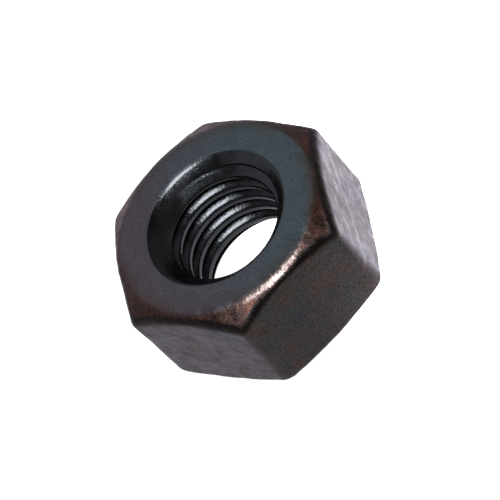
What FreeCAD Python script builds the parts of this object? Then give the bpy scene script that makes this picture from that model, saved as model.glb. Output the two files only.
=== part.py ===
import FreeCAD, Part
import math
import os

# A heavy hex nut, 1/2-13 UNC, in millimetres.
# +Z is the thread axis. The origin is the centre of the lower bearing face.
# One corner of the hexagon lies on +X. The nut is a single forging.

INCH = 25.4
FULL_TURN = 360.0

ACROSS_FLATS = 0.875 * INCH       # wrench size
HEIGHT = 12.3                     # lower bearing face to upper bearing face
SIDES = 6

THREAD_MAJOR = 0.5 * INCH         # nominal diameter, at the groove bottoms
THREADS_PER_INCH = 13
THREAD_ANGLE = 60.0               # between the two flanks of the groove
ROOT_FLAT_SHARE = 0.125           # flat groove bottom, as a share of the pitch
THREAD_START = 197.0              # degrees about +Z where the groove meets z = 0
DEPTH_SHARE = 0.46                # depth of the groove, as a share of the pitch
BORE_ARCS = 8                     # pieces the drilled circle is drawn in

COUNTERSINK_EXTRA = 1.9           # mouth diameter beyond the thread diameter
COUNTERSINK_ANGLE = 88.0          # full angle of the cone

FACE_INSET = 0.9                  # bearing face edge, inside the wrench flats
TOP_CHAMFER_ANGLE = 32.0          # from the upper bearing face down
BOTTOM_CHAMFER_ANGLE = 20.0       # from the lower bearing face up
CORNER_ROUND = 1.3                # upright edges between the wrench flats
FACE_EDGE_ROUND = 1.2             # where a bearing face turns into its chamfer
FLAT_EDGE_ROUND = 0.6             # where a chamfer turns into the wrench flats

PITCH = INCH / THREADS_PER_INCH
MAJOR_R = THREAD_MAJOR / 2
BORE_R = MAJOR_R - DEPTH_SHARE * PITCH   # drilled hole, where the thread crests lie
MOUTH_R = (THREAD_MAJOR + COUNTERSINK_EXTRA) / 2
FACE_R = ACROSS_FLATS / 2 - FACE_INSET
CORNER_R = ACROSS_FLATS / 2 / math.cos(math.pi / SIDES)
BEYOND = PITCH                    # how far cutters reach past the surface they cut
GROOVE_OVERLAP = PITCH / 6        # how far the groove's cutter reaches into the hole

AXIS = FreeCAD.Vector(0, 0, 1)
ORIGIN = FreeCAD.Vector(0, 0, 0)
UP = FreeCAD.Vector(0, 0, HEIGHT)


def polar(radius, degrees, z):
    """The point at this radius and angle about the thread axis."""
    angle = math.radians(degrees)
    return FreeCAD.Vector(radius * math.cos(angle), radius * math.sin(angle), z)


def in_plane(radius, z):
    """The point at this radius and height in the XZ half plane."""
    return FreeCAD.Vector(radius, 0, z)


def hexagonal_bar():
    """The six wrench flats, with their upright edges rounded."""
    corners = [polar(CORNER_R, FULL_TURN * i / SIDES, 0) for i in range(SIDES + 1)]
    bar = Part.Face(Part.makePolygon(corners)).extrude(UP)
    upright = [e for e in bar.Edges if abs(e.tangentAt(e.FirstParameter).z) > 0.5]
    return bar.makeFillet(CORNER_ROUND, upright)


def rounded_corner(before, corner, after, radius):
    """The arc that rounds one corner of a profile."""
    to_before = (before - corner).normalize()
    to_after = (after - corner).normalize()
    half = to_before.getAngle(to_after) / 2
    reach = radius / math.tan(half)
    middle = (to_before + to_after).normalize()
    centre = corner + middle * (radius / math.sin(half))
    start = corner + to_before * reach
    end = corner + to_after * reach
    return Part.Arc(start, centre - middle * radius, end).toShape(), start, end


def chamfer_envelope():
    """The turned shape that cuts both chamfers: flat ends with a cone round each."""
    outer = CORNER_R + BEYOND
    low_end = math.tan(math.radians(BOTTOM_CHAMFER_ANGLE)) * (outer - FACE_R)
    high_end = HEIGHT - math.tan(math.radians(TOP_CHAMFER_ANGLE)) * (outer - FACE_R)
    low = [in_plane(0, 0), in_plane(FACE_R, 0), in_plane(outer, low_end)]
    high = [in_plane(outer, high_end), in_plane(FACE_R, HEIGHT), in_plane(0, HEIGHT)]
    low_arc, low_in, low_out = rounded_corner(*low, FACE_EDGE_ROUND)
    high_arc, high_out, high_in = rounded_corner(*high, FACE_EDGE_ROUND)
    edges = [
        Part.makeLine(low[0], low_in),
        low_arc,
        Part.makeLine(low_out, low[2]),
        Part.makeLine(low[2], high[0]),
        Part.makeLine(high[0], high_out),
        high_arc,
        Part.makeLine(high_in, high[2]),
        Part.makeLine(high[2], low[0]),
    ]
    return Part.Face(Part.Wire(edges)).revolve(ORIGIN, AXIS, FULL_TURN)


def turns_over_to_flat(edge, blank):
    """True for an edge between a wrench flat or its corner and a chamfer cone."""
    faces = blank.ancestorsOfType(edge, Part.Face)
    kinds = [type(f.Surface) for f in faces]
    return Part.Cone in kinds and (Part.Plane in kinds or Part.Cylinder in kinds)


def forged_blank():
    """The nut before it is drilled."""
    blank = hexagonal_bar().common(chamfer_envelope())
    rims = [e for e in blank.Edges if turns_over_to_flat(e, blank)]
    return blank.makeFillet(FLAT_EDGE_ROUND, rims)


def drilled_hole():
    """The drilled hole, its circle drawn in equal arcs."""
    step = FULL_TURN / BORE_ARCS
    low = -BEYOND
    arcs = []
    for i in range(BORE_ARCS):
        ends = [polar(BORE_R, step * (i + share), low) for share in (0, 0.5, 1)]
        arcs.append(Part.Arc(*ends).toShape())
    depth = FreeCAD.Vector(0, 0, HEIGHT + 2 * BEYOND)
    return Part.Face(Part.Wire(arcs)).extrude(depth)


def countersink():
    """The conical mouth at the lower end of the hole."""
    slope = math.tan(math.radians(COUNTERSINK_ANGLE / 2))
    depth = MOUTH_R / slope
    wide = MOUTH_R + BEYOND * slope
    return Part.makeCone(wide, 0, depth + BEYOND, in_plane(0, -BEYOND), AXIS)


def groove_profile():
    """The groove's outline: a flat root between two straight flanks."""
    flank = math.tan(math.radians(THREAD_ANGLE / 2))
    root_half = PITCH * ROOT_FLAT_SHARE / 2
    inner_r = BORE_R - GROOVE_OVERLAP
    inner_half = root_half + (MAJOR_R - inner_r) * flank
    return Part.makePolygon([
        in_plane(inner_r, -inner_half),
        in_plane(MAJOR_R, -root_half),
        in_plane(MAJOR_R, root_half),
        in_plane(inner_r, inner_half),
        in_plane(inner_r, -inner_half),
    ])


def thread_groove():
    """The right-hand helical groove, longer than the nut at both ends."""
    path = Part.makeLongHelix(PITCH, HEIGHT + 4 * BEYOND, MAJOR_R, 0)
    sweep = Part.BRepOffsetAPI.MakePipeShell(Part.Wire(path.Edges))
    sweep.setBiNormalMode(AXIS)
    sweep.add(groove_profile())
    sweep.build()
    sweep.makeSolid()
    groove = sweep.shape()
    groove.translate(in_plane(0, -2 * BEYOND))
    groove.rotate(ORIGIN, AXIS, THREAD_START)
    return groove


def hex_nut():
    """The finished nut: blank, drilled, countersunk at both ends and tapped."""
    low_mouth = countersink()
    high_mouth = low_mouth.mirror(UP * 0.5, AXIS)
    nut = forged_blank().cut(drilled_hole())
    nut = nut.cut(low_mouth).cut(high_mouth)
    return nut.cut(thread_groove())


os.makedirs("parts", exist_ok=True)
hex_nut().exportStep("parts/hex_nut.step")
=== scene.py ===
import math

import bpy
import numpy as np
from mathutils import Matrix, Vector


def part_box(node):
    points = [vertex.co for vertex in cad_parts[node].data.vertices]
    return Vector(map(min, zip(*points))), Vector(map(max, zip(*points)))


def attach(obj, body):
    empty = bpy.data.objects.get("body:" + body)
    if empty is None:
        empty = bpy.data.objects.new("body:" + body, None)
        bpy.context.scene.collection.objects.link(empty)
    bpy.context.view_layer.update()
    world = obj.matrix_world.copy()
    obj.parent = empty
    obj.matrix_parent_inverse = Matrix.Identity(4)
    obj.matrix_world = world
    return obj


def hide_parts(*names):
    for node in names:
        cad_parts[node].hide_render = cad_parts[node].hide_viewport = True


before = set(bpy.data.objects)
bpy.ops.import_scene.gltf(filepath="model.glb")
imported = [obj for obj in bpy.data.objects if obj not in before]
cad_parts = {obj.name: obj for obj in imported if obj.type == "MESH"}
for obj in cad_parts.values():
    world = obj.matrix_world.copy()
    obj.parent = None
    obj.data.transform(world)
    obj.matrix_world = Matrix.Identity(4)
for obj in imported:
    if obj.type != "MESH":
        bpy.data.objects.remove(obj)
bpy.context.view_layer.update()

MM = 0.001
TURN = 2 * math.pi
SECTOR = TURN / 6

# Sizes of the nut, in metres, the same as in the CAD.
LOWEST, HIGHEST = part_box("hex_nut")
ACROSS_FLATS = HIGHEST.y - LOWEST.y
HEIGHT = HIGHEST.z - LOWEST.z
MAJOR_R = 6.35 * MM
PITCH = 25.4 / 13 * MM
GROOVE_DEPTH = 0.46 * PITCH
BORE_R = MAJOR_R - GROOVE_DEPTH
THREAD_START = math.radians(197.0)
MOUTH_R = 7.3 * MM
FACE_R = ACROSS_FLATS / 2 - 0.9 * MM
TOP_CHAMFER = math.radians(32.0)
BOTTOM_CHAMFER = math.radians(20.0)
COUNTERSINK = math.radians(44.0)

# The thread's flanks stand at this angle to a plane across the axis. Its crests are
# rounder than its roots, and the countersinks' cones meet it in a soft edge.
FLANK = math.radians(30.0)
CREST_EASE = 0.15 * MM
ROOT_EASE = 0.04 * MM
CONE_EASE = 0.05 * MM

# The upright corners are rounder at the bottom. The CAD has one radius between these two.
UPPER_CORNER_ROUND = 0.8 * MM
LOWER_CORNER_ROUND = 1.6 * MM

# Depth at which the countersinks pass from the outside's grid to the hole's grid.
LIP = 0.8 * MM
LIP_R = MOUTH_R - LIP * math.tan(COUNTERSINK)

# Rounding of the outside's edges, from the mouth of the upper countersink down to the lower one.
EDGE_ROUNDS = [1.1 * MM, 1.9 * MM, 1.4 * MM, 0.7 * MM, 1.2 * MM, 0.8 * MM]

# Heights of the forging's unevenness, how many waves make each of its patterns, and the
# rows over which it fades out.
SWELL = 0.012 * MM
DENT = 0.003 * MM
EDGE_DENT = 0.01 * MM
EDGE_NICK = 0.008 * MM
WAVES = 40
FADE_ROWS = 8

# Directions to the places where the finish differs, and across the die's step. The rim's rubbed ring,
# lightened as a partly painted highlight, lies towards the first. The side of the hole darkened with
# painted shade lies towards the second.
RUBBED_HIGHLIGHT_SIDE = (0.588, -0.388, 0.71)
SHADED_SIDE = (-0.7, -0.7, 0.1)
STEPPED_FLAT = (0.866, 0.5, 0.0)
ACROSS_STEP = (0.169, -0.293, 1.0)

# How fast the tint of the bearing faces shifts along x, y and z, per metre.
TINT_SLOPE = (-48.0, -48.0, 0.0)


# ---------------------------------------------------------------- shapes

def sector_angles(columns):
    """Angles round the axis, closer together near each of the six corners.

    Within a sixth of a turn an even step t becomes t - 0.72 sin(2 pi t) / 2 pi, which is
    steepest half way along the flat and shallowest at the corners.
    """
    t = np.arange(columns) / columns
    eased = t - 0.72 * np.sin(TURN * t) / TURN
    sixths = np.arange(6)[:, None]
    return ((sixths + eased) * SECTOR).ravel()


def hexagon_radius(angle, corner_round):
    """Distance from the axis to the rounded hexagon.

    Along a flat it is the half width over the cosine of the angle from the flat's middle.
    Near a corner it is the far crossing of the ray with the circle that touches both flats.
    """
    half = ACROSS_FLATS / 2
    from_middle = np.abs(np.mod(angle, SECTOR) - SECTOR / 2)
    from_corner = SECTOR / 2 - from_middle
    centre = (half - corner_round) / math.cos(SECTOR / 2)
    touch = math.atan((half - corner_round) * math.tan(SECTOR / 2) / half)
    inside = np.maximum(corner_round ** 2 - (centre * np.sin(from_corner)) ** 2, 0)
    arc = centre * np.cos(from_corner) + np.sqrt(inside)
    return np.where(from_middle > touch, arc, half / np.cos(from_middle))


def rounded_path(corners, radii, arc_steps, line_steps):
    """A path through corners, with each inner corner replaced by an arc.

    corners has the shape (corner, column, 2). An arc of radius rho starts and ends at
    rho over the tangent of half the inner angle from its corner, but no further than
    0.48 of the shorter leg. Straight stretches between arcs are divided evenly.
    """
    rows = [corners[0]]
    for before, corner, after, rho, arc_count, line_count in zip(
            corners[:-2], corners[1:-1], corners[2:], radii, arc_steps, line_steps):
        back, ahead = before - corner, after - corner
        back_length = np.linalg.norm(back, axis=-1, keepdims=True)
        ahead_length = np.linalg.norm(ahead, axis=-1, keepdims=True)
        back, ahead = back / back_length, ahead / ahead_length
        half = np.arccos(np.clip((back * ahead).sum(-1, keepdims=True), -1, 1)) / 2
        reach = np.minimum(rho / np.tan(half), 0.48 * np.minimum(back_length, ahead_length))
        radius = reach * np.tan(half)
        inward = (back + ahead) / np.linalg.norm(back + ahead, axis=-1, keepdims=True)
        centre = corner + inward * radius / np.sin(half)
        share = np.linspace(-1, 1, arc_count)[:, None, None] * (math.pi / 2 - half)
        side = (ahead - back) / np.linalg.norm(ahead - back, axis=-1, keepdims=True)
        arc = centre + radius * (side * np.sin(share) - inward * np.cos(share))
        along = np.linspace(0, 1, line_count + 1)[1:-1, None, None]
        rows.extend([*(rows[-1] + along * (arc[0] - rows[-1])), *arc])
    along = np.linspace(0, 1, line_steps[-1] + 1)[1:, None, None]
    rows.extend(rows[-1] + along * (corners[-1] - rows[-1]))
    return np.array(rows)


def outside_path(angle):
    """The nut's outline in the half plane at each angle, from one countersink to the other.

    Each row holds a distance from the axis and a height. The chamfers fall away from the
    bearing faces as cones, so they meet the hexagon lowest at its corners.
    """
    upper = hexagon_radius(angle, UPPER_CORNER_ROUND)
    lower = hexagon_radius(angle, LOWER_CORNER_ROUND)
    flat = np.ones_like(upper)
    high = HEIGHT - math.tan(TOP_CHAMFER) * (upper - FACE_R)
    low = math.tan(BOTTOM_CHAMFER) * (lower - FACE_R)
    corners = np.array([
        [flat * LIP_R, flat * (HEIGHT - LIP)],
        [flat * MOUTH_R, flat * HEIGHT],
        [flat * FACE_R, flat * HEIGHT],
        [upper, high],
        [lower, low],
        [flat * FACE_R, flat * 0],
        [flat * MOUTH_R, flat * 0],
        [flat * LIP_R, flat * LIP],
    ]).transpose(0, 2, 1)
    return rounded_path(corners, EDGE_ROUNDS,
                        arc_steps=[5, 7, 9, 7, 7, 5], line_steps=[1, 8, 4, 34, 3, 8, 1])


def soft_max(a, b, blend):
    """The larger of two values, with the bend between them eased over `blend`.

    It is half of their sum and the root of their difference squared plus `blend` squared.
    """
    return (a + b + np.sqrt((a - b) ** 2 + blend ** 2)) / 2


def thread_rows(steps):
    """One pitch of the thread's section: heights, and depths beyond the crests.

    From a sixteenth of a pitch off the groove's middle, the depth falls by the height over
    the flank's tangent, held between nothing and the full depth, with both bends eased.
    """
    height = np.arange(steps) / steps * PITCH
    from_groove = np.abs(height - PITCH / 2)
    slope = GROOVE_DEPTH + (PITCH / 16 - from_groove) / math.tan(FLANK)
    depth = soft_max(0, slope, CREST_EASE)
    return height, GROOVE_DEPTH - soft_max(0, GROOVE_DEPTH - depth, ROOT_EASE)


def bore_points(angle, height, depth, turns):
    """Distances from the axis and heights of the hole's wall, along the thread.

    Row j of column i is at the height of section row j plus the angle's share of a pitch,
    so rows run up the helix. The distance is that of the thread or of the countersink cone,
    whichever is larger.
    """
    lift = (angle - THREAD_START) / TURN * PITCH + PITCH / 2
    rise = (np.arange(turns)[:, None] * PITCH + height).ravel()
    z = lift[:, None] + rise[None, :] - 2 * PITCH
    z = np.clip(z, LIP, HEIGHT - LIP)
    cone = MOUTH_R - np.minimum(z, HEIGHT - z) * math.tan(COUNTERSINK)
    radius = soft_max(BORE_R + np.tile(depth, turns)[None, :], cone, CONE_EASE)
    ends = (z <= LIP) | (z >= HEIGHT - LIP)
    return np.where(ends, LIP_R, radius), z


def cells(a, b, c, d):
    """Two triangles for each cell with the corners a, b, c, d, without those that vanish."""
    corners = np.stack([a.ravel(), b.ravel(), c.ravel(), d.ravel()], axis=1)
    triangles = np.concatenate([corners[:, [0, 1, 2]], corners[:, [0, 2, 3]]])
    x, y, z = triangles.T
    return triangles[(x != y) & (y != z) & (z != x)]


def unevenness(points, size, seed):
    """A smooth random height for each point, about 1 at its peaks.

    It is the sum of cosine waves in random directions, with lengths from 0.6 to 1.6 times
    `size`, divided by the square root of their number.
    """
    random = np.random.default_rng(seed)
    waves = random.normal(size=(WAVES, 3))
    waves /= np.linalg.norm(waves, axis=1, keepdims=True)
    waves *= (TURN / size / random.uniform(0.6, 1.6, WAVES))[:, None]
    start = random.uniform(0, TURN, WAVES)
    return np.cos(points @ waves.T + start).sum(axis=1) / math.sqrt(WAVES)


def forged(path, xyz):
    """The outside with its forged unevenness, and how level each point's surface is.

    Each point moves along the outline's normal by a sum of uneven heights: low swells a few
    millimetres across, and dents and nicks that are deepest on the edges, where 4 l (1 - l)
    is greatest for a levelness l. Less the greatest height times l, a level surface only
    ever sinks, so the nut keeps its height. All of it fades out over the rows round the
    mouths of the countersinks.
    """
    step = np.gradient(path, axis=0)
    length = np.linalg.norm(step, axis=2)
    rise, out = step[..., 0] / length, -step[..., 1] / length
    angle = np.arctan2(xyz[..., 1], xyz[..., 0])
    normal = np.stack([out * np.cos(angle), out * np.sin(angle), rise], axis=2)
    near_mouth = path[..., 0] < MOUTH_R + 0.6 * MM
    level = np.where(near_mouth, 1.0, np.abs(rise))
    edge = 4 * level * (1 - level)
    flat = xyz.reshape(-1, 3)
    swell = unevenness(flat, 4.0 * MM, 3).reshape(level.shape)
    dent = unevenness(flat, 1.3 * MM, 5).reshape(level.shape)
    nick = unevenness(flat, 0.7 * MM, 8).reshape(level.shape)
    height = SWELL * (2 - level) * swell + (DENT + EDGE_DENT * edge) * dent + EDGE_NICK * edge * nick
    height -= level * height.max()
    row = np.arange(len(path))[:, None]
    fade = np.clip(np.minimum(row, len(path) - 1 - row) / FADE_ROWS, 0, 1)
    return xyz + normal * (height * fade)[..., None], level


def bore_grid(z, first_point, upper_rim, lower_rim, section_rows):
    """Triangles of the hole's wall, closed by the two rims of the outside.

    Rows beyond a lip collapse onto the rim's own point there. The last column joins the
    first one a section's rows further up, since the helix has risen by a pitch.
    """
    count, rows = z.shape
    steps = np.arange(rows)
    clear = LIP + 0.08 * MM
    first = ((z <= clear).sum(axis=1) - 1)[:, None]
    last = (rows - (z >= HEIGHT - clear).sum(axis=1))[:, None]
    held = np.clip(steps[None, :], first, last)
    wall = first_point + np.arange(count)[:, None] * rows + held
    wall = np.where(held == last, upper_rim[:, None], wall)
    wall = np.where(held == first, lower_rim[:, None], wall)
    shifted = np.roll(wall, -1, axis=0)
    shifted[-1] = wall[0][np.minimum(steps + section_rows, steps[-1])]
    return cells(wall[:, :-1], wall[:, 1:], shifted[:, 1:], shifted[:, :-1])


def hex_nut_surface():
    """The whole nut as one closed surface.

    Returns its points, its triangles, which of them lie in the hole, and for each point how
    level the surface is: 1 on a bearing face and 0 on a wrench flat.
    """
    angle = sector_angles(52)
    path = outside_path(angle)
    rows, count = path.shape[:2]
    outer = np.arange(rows * count).reshape(rows, count)
    around = np.roll(outer, -1, axis=1)
    outside = cells(outer[:-1], outer[1:], around[1:], around[:-1])

    height, depth = thread_rows(24)
    radius, z = bore_points(angle, height, depth, turns=math.ceil(HEIGHT / PITCH) + 4)
    inside = bore_grid(z, outer.size, outer[0], outer[-1], len(height))

    directions = np.stack([np.cos(angle), np.sin(angle)], axis=1)
    outer_xyz = np.concatenate([path[..., :1] * directions[None], path[..., 1:]], axis=2)
    outer_xyz, level = forged(path, outer_xyz)
    bore_xyz = np.concatenate([radius[..., None] * directions[:, None, :], z[..., None]], axis=2)
    points = np.concatenate([outer_xyz.reshape(-1, 3), bore_xyz.reshape(-1, 3)])
    level = np.concatenate([level.ravel(), np.ones(radius.size)])
    triangles = np.concatenate([outside, inside])
    from_axis = np.hypot(points[:, 0], points[:, 1])
    in_hole = from_axis[triangles].max(axis=1) < MOUTH_R + 0.06 * MM
    used, fresh = np.unique(triangles, return_inverse=True)
    return points[used], fresh.reshape(triangles.shape), in_hole, level[used]


def mesh_piece(name, points, triangles):
    """A mesh object made of points and triangles, shaded smooth."""
    mesh = bpy.data.meshes.new(name)
    mesh.vertices.add(len(points))
    mesh.vertices.foreach_set("co", points.astype(np.float32).ravel())
    mesh.loops.add(triangles.size)
    mesh.loops.foreach_set("vertex_index", triangles.astype(np.int32).ravel())
    mesh.polygons.add(len(triangles))
    mesh.polygons.foreach_set("loop_start", np.arange(0, triangles.size, 3, dtype=np.int32))
    mesh.update(calc_edges=True)
    mesh.polygons.foreach_set("use_smooth", np.ones(len(triangles), dtype=bool))
    piece = bpy.data.objects.new(name, mesh)
    bpy.context.scene.collection.objects.link(piece)
    return piece


# ---------------------------------------------------------------- materials

EASED = {"interpolation_type": "SMOOTHSTEP"}
COLOURS = {"data_type": "RGBA"}
MULTIPLIED = {"data_type": "RGBA", "blend_type": "MULTIPLY"}


def linear(code):
    """The linear colour of an sRGB hex value."""
    srgb = np.array([int(code[i:i + 2], 16) for i in (1, 3, 5)]) / 255
    rgb = np.where(srgb <= 0.04045, srgb / 12.92, ((srgb + 0.055) / 1.055) ** 2.4)
    return (*rgb, 1.0)


def add(tree, kind, choices, inputs):
    """Adds a node, sets its own choices, and feeds each input a value, a socket or a node.

    An input goes by its number, or by its name among those that the choices leave in use.
    A node that feeds another stands for its first output in use.
    """
    made = tree.nodes.new(kind)
    for name, value in choices.items():
        setattr(made, name, value)
    for place, value in inputs.items():
        if isinstance(value, bpy.types.Node):
            value = next(s for s in value.outputs if s.enabled)
        if isinstance(value, bpy.types.NodeSocket):
            tree.links.new(value, made.inputs[place])
        else:
            made.inputs[place].default_value = value
    return made


def forging_noises(tree, where):
    """The random patterns of the forged steel, by name.

    Tints are 9 mm across, patches 2.5 mm, blotches 1.4 mm and flecks 0.8 mm. Streaks lie
    round the nut, 4 mm long and 1.5 mm high. Real oxide grains are finer than 0.05 mm, so
    the grain is drawn coarser, at 0.2 mm, to show at all.
    """
    lying = add(tree, "ShaderNodeMapping", {}, {"Vector": where, "Scale": (1.0, 1.0, 2.5)})
    settings = {
        "tint": {"Vector": where, "Scale": 110.0, "Detail": 2.0},
        "patch": {"Vector": where, "Scale": 400.0, "Detail": 5.0, "Roughness": 0.65},
        "blotch": {"Vector": where, "Scale": 700.0, "Detail": 5.0, "Roughness": 0.7},
        "fleck": {"Vector": where, "Scale": 1300.0, "Detail": 3.0, "Roughness": 0.6},
        "streak": {"Vector": lying, "Scale": 260.0, "Detail": 4.0, "Roughness": 0.6},
        "grain": {"Vector": where, "Scale": 4800.0, "Detail": 2.0},
    }
    return {name: add(tree, "ShaderNodeTexNoise", {}, inputs) for name, inputs in settings.items()}


def ragged_radius(tree, where, noise):
    """The distance from the axis, pushed to and fro by flecks and grain."""
    flattened = add(tree, "ShaderNodeVectorMath", {"operation": "MULTIPLY"},
                    {0: where, 1: (1.0, 1.0, 0.0)})
    from_axis = add(tree, "ShaderNodeVectorMath", {"operation": "LENGTH"}, {0: flattened})
    broken = add(tree, "ShaderNodeMath", {"operation": "ADD"}, {0: noise["fleck"], 1: noise["grain"]})
    ragged = add(tree, "ShaderNodeMath", {"operation": "MULTIPLY_ADD"},
                 {0: broken, 1: 1.0 * MM, 2: -1.0 * MM})
    return add(tree, "ShaderNodeMath", {"operation": "ADD"}, {0: from_axis, 1: ragged})


def rubbed_and_painted_highlight_share(tree, where, level, rim):
    """How much lighter the upper rim is made: partly oxide rubbed off, partly a painted highlight, in a
    ragged line along the one side of the upper rim that faces the strip light.

    It is whole from 10.45 to 10.62 mm from the axis, above the flat at -30 degrees, and only
    where the surface is more level than upright.
    """
    apart = add(tree, "ShaderNodeVectorMath", {"operation": "DOT_PRODUCT"}, {0: where, 1: RUBBED_HIGHLIGHT_SIDE})
    outer = add(tree, "ShaderNodeMapRange", EASED,
                {"Value": rim, "From Min": 10.88 * MM, "From Max": 10.62 * MM})
    ring = add(tree, "ShaderNodeMapRange", EASED,
               {"Value": rim, "From Min": 10.15 * MM, "From Max": 10.45 * MM, "To Max": outer})
    side = add(tree, "ShaderNodeMapRange", EASED,
               {"Value": apart, "From Min": 15.4 * MM, "From Max": 15.8 * MM, "To Max": ring})
    return add(tree, "ShaderNodeMapRange", EASED,
               {"Value": level, "From Min": 0.3, "From Max": 0.75, "To Max": side})


def face_colour(tree, where, rim, noise):
    """The bearing faces: blue-grey on one side, violet-grey on the other, brown at the rim."""
    slope = add(tree, "ShaderNodeVectorMath", {"operation": "DOT_PRODUCT"}, {0: where, 1: TINT_SLOPE})
    share = add(tree, "ShaderNodeMath", {"operation": "ADD", "use_clamp": True},
                {0: slope, 1: noise["tint"]})
    face = add(tree, "ShaderNodeMix", COLOURS,
               {"Factor": share, "A": linear("#313b40"), "B": linear("#38343a")})
    faded = add(tree, "ShaderNodeMapRange", EASED,
                {"Value": noise["tint"], "From Min": 0.6, "From Max": 0.4, "To Max": 0.6})
    stain = add(tree, "ShaderNodeMapRange", EASED,
                {"Value": rim, "From Min": 8.9 * MM, "From Max": 10.4 * MM, "To Max": faded})
    return add(tree, "ShaderNodeMix", COLOURS, {"Factor": stain, "A": face, "B": linear("#30241f")})


def side_colour(tree, level, noise):
    """The flats, patched with brown scale, and the rusty chamfers, with painted shade where they bend down:
    near black, standing in for the rounded edge's dark reflection.
    """
    patched = add(tree, "ShaderNodeMapRange", {},
                  {"Value": noise["patch"], "From Min": 0.38, "From Max": 0.62})
    flat = add(tree, "ShaderNodeMix", COLOURS,
               {"Factor": patched, "A": linear("#2e2421"), "B": linear("#232526")})
    rusted = add(tree, "ShaderNodeMapRange", {},
                 {"Value": noise["patch"], "From Min": 0.35, "From Max": 0.7})
    rust = add(tree, "ShaderNodeMix", COLOURS,
               {"Factor": rusted, "A": linear("#1a1412"), "B": linear("#341f18")})
    # Painted shade: the bend from chamfer to flat is coloured near black in place of its dark reflection.
    bend = add(tree, "ShaderNodeMapRange", EASED, {"Value": level, "From Min": 0.847, "From Max": 0.8})
    chamfer = add(tree, "ShaderNodeMix", COLOURS, {"Factor": bend, "A": rust, "B": linear("#15100f")})
    on_flat = add(tree, "ShaderNodeMapRange", EASED, {"Value": level, "From Min": 0.45, "From Max": 0.05})
    return add(tree, "ShaderNodeMix", COLOURS, {"Factor": on_flat, "A": chamfer, "B": flat})


def speckled(tree, colour, on_face, noise):
    """A colour made lighter and darker by the grain, more so on the sides than on the faces."""
    deep = add(tree, "ShaderNodeMapRange", {}, {"Value": on_face, "To Min": 1.6, "To Max": 1.25})
    pale = add(tree, "ShaderNodeMath", {"operation": "SUBTRACT"}, {0: 2.0, 1: deep})
    speck = add(tree, "ShaderNodeMapRange", {}, {
        "Value": noise["grain"], "From Min": 0.28, "From Max": 0.72, "To Min": pale, "To Max": deep})
    return add(tree, "ShaderNodeMix", MULTIPLIED, {"Factor": 1.0, "A": colour, "B": speck})


def die_step(tree, where, noise):
    """A step 0.1 mm high, left by the forging die, that runs aslant over the flat at 30 degrees."""
    out = add(tree, "ShaderNodeVectorMath", {"operation": "DOT_PRODUCT"}, {0: where, 1: STEPPED_FLAT})
    one_flat = add(tree, "ShaderNodeMapRange", EASED,
                   {"Value": out, "From Min": 10.2 * MM, "From Max": 11.0 * MM, "To Max": 1.5})
    aslant = add(tree, "ShaderNodeVectorMath", {"operation": "DOT_PRODUCT"}, {0: where, 1: ACROSS_STEP})
    wavy = add(tree, "ShaderNodeMath", {"operation": "MULTIPLY_ADD"},
               {0: noise["patch"], 1: 0.6 * MM, 2: aslant})
    return add(tree, "ShaderNodeMapRange", EASED,
               {"Value": wavy, "From Min": 6.45 * MM, "From Max": 7.4 * MM, "To Max": one_flat})


def forging_normal(tree, where, on_face, noise):
    """Lumps about 0.04 mm high and the die's step, with grain on top.

    The lumps are pressed down to a quarter on the bearing faces.
    """
    lumps = add(tree, "ShaderNodeMath", {"operation": "MULTIPLY_ADD"},
                {0: noise["streak"], 1: 0.5, 2: die_step(tree, where, noise)})
    lumps = add(tree, "ShaderNodeMath", {"operation": "ADD"}, {0: lumps, 1: noise["blotch"]})
    pressed = add(tree, "ShaderNodeMapRange", {}, {"Value": on_face, "To Min": 1.0, "To Max": 0.25})
    broad = add(tree, "ShaderNodeBump", {},
                {"Strength": pressed, "Distance": 0.075 * MM, "Height": lumps})
    return add(tree, "ShaderNodeBump", {},
               {"Strength": 0.5, "Distance": 0.02 * MM, "Height": noise["grain"], "Normal": broad})


def forged_black_steel():
    """Forged medium-carbon steel, blackened in a hot salt bath and oiled.

    The oxide is thin and dark, so it mirrors little face on and much at a slant. The pressed
    bearing faces are smooth and blue-grey. The flats keep patches of brown scale, and the
    chamfers' corners show coppery rust.
    """
    steel = bpy.data.materials.new("forged_steel_black_oxide")
    steel.use_nodes = True
    tree = steel.node_tree
    where = add(tree, "ShaderNodeTexCoord", {}, {}).outputs["Object"]
    level = add(tree, "ShaderNodeAttribute", {"attribute_name": "level"}, {}).outputs["Fac"]
    noise = forging_noises(tree, where)
    rim = ragged_radius(tree, where, noise)
    on_face = add(tree, "ShaderNodeMapRange", EASED, {"Value": level, "From Min": 0.86, "From Max": 0.999})

    blackened = add(tree, "ShaderNodeMix", COLOURS, {
        "Factor": on_face, "A": side_colour(tree, level, noise), "B": face_colour(tree, where, rim, noise)})
    # The rubbed ring's lighter colour is part worn steel and part a painted highlight.
    colour = add(tree, "ShaderNodeMix", COLOURS, {
        "Factor": rubbed_and_painted_highlight_share(tree, where, level, rim), "A": blackened, "B": linear("#574e4c")})
    dull = add(tree, "ShaderNodeMapRange", {},
               {"Value": noise["blotch"], "From Min": 0.4, "From Max": 0.6, "To Min": 0.29, "To Max": 0.43})

    shader = tree.nodes["Principled BSDF"]
    tree.links.new(speckled(tree, colour, on_face, noise).outputs["Result"], shader.inputs["Base Color"])
    tree.links.new(dull.outputs["Result"], shader.inputs["Roughness"])
    tree.links.new(forging_normal(tree, where, on_face, noise).outputs["Normal"], shader.inputs["Normal"])
    shader.inputs["Metallic"].default_value = 0.85
    shader.inputs["Specular Tint"].default_value = linear("#dcd8e1")
    return steel


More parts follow.
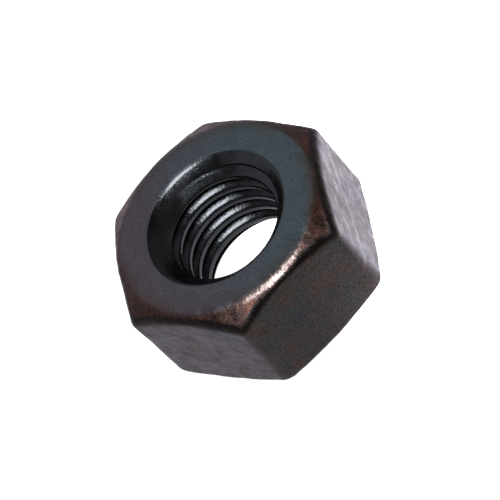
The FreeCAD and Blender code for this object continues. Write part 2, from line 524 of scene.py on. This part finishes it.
def tapped_black_steel():
    """The same steel where it was drilled and tapped, blackened and wet with oil.

    The cut surface is smoother than the forging, so it is nearly black with sharp glints. One side of the
    hole, most of all the countersinks, is darkened with painted shade. The film of oil is patchy over about
    a millimetre. The tool's marks are finer than 0.1 mm, so they are drawn as a coarser grain of 0.3 mm
    that shows.
    """
    steel = bpy.data.materials.new("tapped_steel_black_oxide_oiled")
    steel.use_nodes = True
    tree = steel.node_tree
    where = add(tree, "ShaderNodeTexCoord", {}, {}).outputs["Object"]
    film = add(tree, "ShaderNodeTexNoise", {},
               {"Vector": where, "Scale": 900.0, "Detail": 4.0, "Roughness": 0.6})
    grain = add(tree, "ShaderNodeTexNoise", {}, {"Vector": where, "Scale": 3500.0, "Detail": 2.0})
    colour = add(tree, "ShaderNodeMix", COLOURS,
                 {"Factor": film, "A": linear("#1e2022"), "B": linear("#2f3134")})
    # Painted shade: the colour is darker towards one side of the hole, most of all on the countersinks.
    toward_shade = add(tree, "ShaderNodeVectorMath", {"operation": "DOT_PRODUCT"}, {0: where, 1: SHADED_SIDE})
    black = add(tree, "ShaderNodeMapRange", EASED,
                {"Value": toward_shade, "From Min": 5.2 * MM, "From Max": 7.0 * MM, "To Min": 1.0, "To Max": 0.3})
    oiled = add(tree, "ShaderNodeMix", MULTIPLIED, {"Factor": 1.0, "A": colour, "B": black})
    dull = add(tree, "ShaderNodeMapRange", {},
               {"Value": film, "From Min": 0.35, "From Max": 0.65, "To Min": 0.16, "To Max": 0.28})
    ripple = add(tree, "ShaderNodeBump", {}, {"Strength": 0.6, "Distance": 0.04 * MM, "Height": film})
    fine = add(tree, "ShaderNodeBump", {},
               {"Strength": 0.55, "Distance": 0.03 * MM, "Height": grain, "Normal": ripple})

    shader = tree.nodes["Principled BSDF"]
    tree.links.new(oiled.outputs["Result"], shader.inputs["Base Color"])
    tree.links.new(dull.outputs["Result"], shader.inputs["Roughness"])
    tree.links.new(fine.outputs["Normal"], shader.inputs["Normal"])
    shader.inputs["Metallic"].default_value = 0.9
    shader.inputs["Specular Tint"].default_value = linear("#ccc9ce")
    return steel


def acrylic_with_painted_light_pool():
    """A sheet of white acrylic that glows evenly, with a painted pool of light 3.3 times as bright on a
    spot beside the nut.

    It is clear from beneath, so the lower bearing face can be looked at.
    """
    acrylic = bpy.data.materials.new("white_acrylic_painted_light_pool")
    acrylic.use_nodes = True
    tree = acrylic.node_tree
    where = add(tree, "ShaderNodeTexCoord", {}, {}).outputs["Object"]
    away = add(tree, "ShaderNodeVectorMath", {"operation": "DISTANCE"},
               {0: where, 1: (12 * MM, 18 * MM, 0.0)})
    # A painted pool of light: the sheet shines 3.3 times as bright within 12 mm of a spot beside the nut,
    # fading out by 27 mm.
    glow = add(tree, "ShaderNodeMapRange", EASED,
               {"Value": away, "From Min": 12 * MM, "From Max": 27 * MM, "To Min": 3.3, "To Max": 1.0})
    shader = tree.nodes["Principled BSDF"]
    shader.inputs["Base Color"].default_value = linear("#595959")
    shader.inputs["Roughness"].default_value = 0.7
    shader.inputs["Emission Color"].default_value = linear("#ffffff")
    tree.links.new(glow.outputs["Result"], shader.inputs["Emission Strength"])
    beneath = add(tree, "ShaderNodeNewGeometry", {}, {}).outputs["Backfacing"]
    clear = add(tree, "ShaderNodeBsdfTransparent", {}, {})
    sheet = add(tree, "ShaderNodeMixShader", {}, {0: beneath, 1: shader, 2: clear})
    tree.links.new(sheet.outputs["Shader"], tree.nodes["Material Output"].inputs["Surface"])
    return acrylic


# ---------------------------------------------------------------- the nut

points, triangles, in_hole, level = hex_nut_surface()
nut = mesh_piece("forged_nut", points, triangles)
nut.data.materials.append(forged_black_steel())
nut.data.materials.append(tapped_black_steel())
nut.data.polygons.foreach_set("material_index", in_hole.astype(np.int32))
nut.data.attributes.new("level", "FLOAT", "POINT").data.foreach_set("value", level.astype(np.float32))
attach(nut, "root")
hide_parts("hex_nut")


# ---------------------------------------------------------------- floor, light and camera

CENTRE = Vector((0, 0, HEIGHT / 2))
CAMERA_AZIMUTH, CAMERA_ELEVATION, CAMERA_ROLL = 56.134, 48.0, -44.1
CAMERA_DISTANCE = 14.179 * ACROSS_FLATS


def towards(azimuth, elevation):
    """The direction out from the nut at this azimuth and elevation, in degrees."""
    a, e = math.radians(azimuth), math.radians(elevation)
    return Vector((math.sin(a) * math.cos(e), -math.cos(a) * math.cos(e), math.sin(e)))


def aimed(thing, azimuth, elevation, distance, roll):
    """Puts a camera or a light at a distance from the nut, looking at its centre."""
    out = towards(azimuth, elevation)
    facing = out.to_track_quat("Z", "Y").to_matrix().to_4x4()
    turn = Matrix.Rotation(math.radians(roll), 4, "Z")
    thing.matrix_world = Matrix.Translation(CENTRE + out * distance) @ facing @ turn


def floor_sheet():
    """A square of the floor, two metres wide, under the nut."""
    mesh = bpy.data.meshes.new("floor")
    mesh.from_pydata([(-1, -1, 0), (1, -1, 0), (1, 1, 0), (-1, 1, 0)], [], [(0, 1, 2, 3)])
    mesh.materials.append(acrylic_with_painted_light_pool())
    floor = bpy.data.objects.new("floor", mesh)
    bpy.context.scene.collection.objects.link(floor)


def studio():
    """A white room, darker on the camera's side, that the camera itself sees as white."""
    world = bpy.data.worlds.new("studio")
    bpy.context.scene.world = world
    world.use_nodes = True
    tree = world.node_tree
    where = add(tree, "ShaderNodeTexCoord", {}, {}).outputs["Generated"]
    facing = add(tree, "ShaderNodeVectorMath", {"operation": "DOT_PRODUCT"},
                 {0: where, 1: towards(CAMERA_AZIMUTH, CAMERA_ELEVATION)})
    shade = add(tree, "ShaderNodeMapRange", EASED,
                {"Value": facing, "From Min": 0.25, "From Max": 0.65, "To Min": 1.0, "To Max": 0.12})
    seen = add(tree, "ShaderNodeLightPath", {}, {}).outputs["Is Camera Ray"]
    either = add(tree, "ShaderNodeMath", {"operation": "MAXIMUM"}, {0: shade, 1: seen})
    tree.links.new(either.outputs["Value"], tree.nodes["Background"].inputs["Strength"])
    tree.nodes["Background"].inputs["Color"].default_value = linear("#ffffff")


def strip_light(width, height, brightness):
    """An even rectangular light above the camera, its power from its area."""
    lamp = bpy.data.lights.new("strip", "AREA")
    lamp.shape = "RECTANGLE"
    lamp.size = width
    lamp.size_y = height
    lamp.energy = brightness * math.pi * width * height
    box = bpy.data.objects.new("strip", lamp)
    box.visible_camera = False
    bpy.context.scene.collection.objects.link(box)
    aimed(box, azimuth=52.0, elevation=71.0, distance=0.45, roll=0.0)


def raised_camera():
    """A long lens that looks down on the nut from in front and to the right."""
    lens = bpy.data.cameras.new("camera")
    lens.lens = 237.8
    lens.sensor_width = 36
    lens.shift_x = 0.00996
    lens.shift_y = -0.0035
    made = bpy.data.objects.new("camera", lens)
    bpy.context.scene.collection.objects.link(made)
    aimed(made, CAMERA_AZIMUTH, CAMERA_ELEVATION, CAMERA_DISTANCE, CAMERA_ROLL)
    bpy.context.scene.camera = made


floor_sheet()
studio()
strip_light(width=0.25, height=0.21, brightness=34.0)
raised_camera()
bpy.context.scene.view_settings.view_transform = "Standard"
